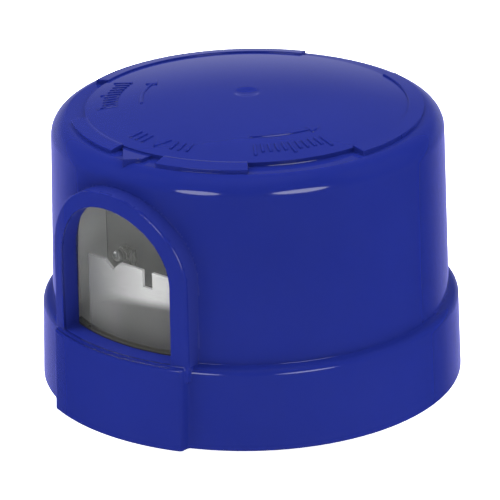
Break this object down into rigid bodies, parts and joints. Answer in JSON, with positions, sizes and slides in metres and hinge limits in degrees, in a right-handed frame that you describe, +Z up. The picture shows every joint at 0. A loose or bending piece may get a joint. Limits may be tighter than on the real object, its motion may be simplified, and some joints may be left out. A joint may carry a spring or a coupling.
{
  "type": "photocell switch",
  "caption": "Round blue photocell light switch with an arched smoked window in a raised frame, a domed top with raised tabs, and hooked locking blades under a foam gasket.",
  "frame": {"origin": "on the axis, in the plane of the gasket's lower face, where the switch seats on its receptacle", "axes": "+Z up along the axis to the crown, -Y out through the window, blades pointing down along -Z"},
  "size_m": [0.0842, 0.086, 0.0683],
  "materials": {
    "cover_blue": "satin moulded",
    "lens_smoke": "smoked, clear",
    "base_black": "moulded",
    "gasket_foam": "closed-cell foam",
    "screw_steel": "zinc plated",
    "blade_brass": "stamped",
    "shield_metal": "satin sheet",
    "baffle_grey": "moulded",
    "board": "laminate",
    "sensor_clear": "clear",
    "relay_case": "moulded",
    "film_case": "moulded",
    "can_sleeve": "shrunk sleeve",
    "varistor_coat": "dipped coating",
    "diode_black": "moulded",
    "diode_glass": "glassy",
    "resistor_tan": "lacquered",
    "lead_black": "insulation",
    "lead_red": "insulation",
    "lead_white": "insulation"
  },
  "bodies": {
    "root": {"cover": "cover_blue", "window_lens": "lens_smoke", "base": "base_black", "base_gasket": "gasket_foam", "cover_screws": "screw_steel", "line_blade": "blade_brass", "load_blade": "blade_brass", "neutral_blade": "blade_brass", "blade_rivets": "screw_steel", "light_shield": "shield_metal", "shield_screws": "screw_steel", "light_baffle": "baffle_grey", "circuit_board": "board", "board_screws": "screw_steel", "photo_sensor": "sensor_clear", "relay": "relay_case", "dropper_capacitor": "film_case", "filter_capacitor": "can_sleeve", "surge_varistor": "varistor_coat", "rectifier_diodes": "diode_black", "zener_diode": "diode_glass", "resistors": "resistor_tan", "transistor": "diode_black", "line_lead": "lead_black", "load_lead": "lead_red", "neutral_lead": "lead_white"}
  },
  "joints": []
}
